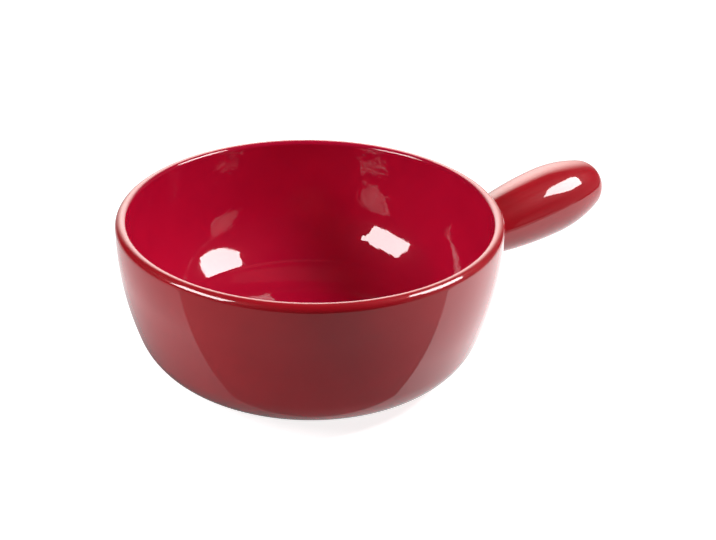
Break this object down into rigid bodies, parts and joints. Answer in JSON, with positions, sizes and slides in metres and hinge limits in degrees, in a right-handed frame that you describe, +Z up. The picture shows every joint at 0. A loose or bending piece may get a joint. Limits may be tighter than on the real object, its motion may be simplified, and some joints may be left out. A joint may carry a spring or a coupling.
{
  "type": "fondue pot",
  "caption": "Round glazed stoneware fondue pot for melting and serving cheese, with a thick rounded rim, a gently bulging wall, a bare foot ring and a fat hollow drop-shaped side handle.",
  "frame": {"origin": "on the bowl's axis, in the plane of the foot ring's face that the pot stands on", "axes": "+Z up along the bowl's axis, +X from the bowl's axis along the handle, +Y to the left of the handle seen from above"},
  "size_m": [0.348, 0.24, 0.1],
  "materials": {
    "stoneware": "matt",
    "slip": "matt",
    "red_glaze": "gloss"
  },
  "bodies": {
    "root": {"bowl_body": "stoneware", "inner_glaze": "red_glaze", "outer_glaze": "red_glaze", "base_glaze": "red_glaze", "handle_body": "stoneware", "handle_luting": "slip", "handle_glaze": "red_glaze"}
  },
  "joints": []
}
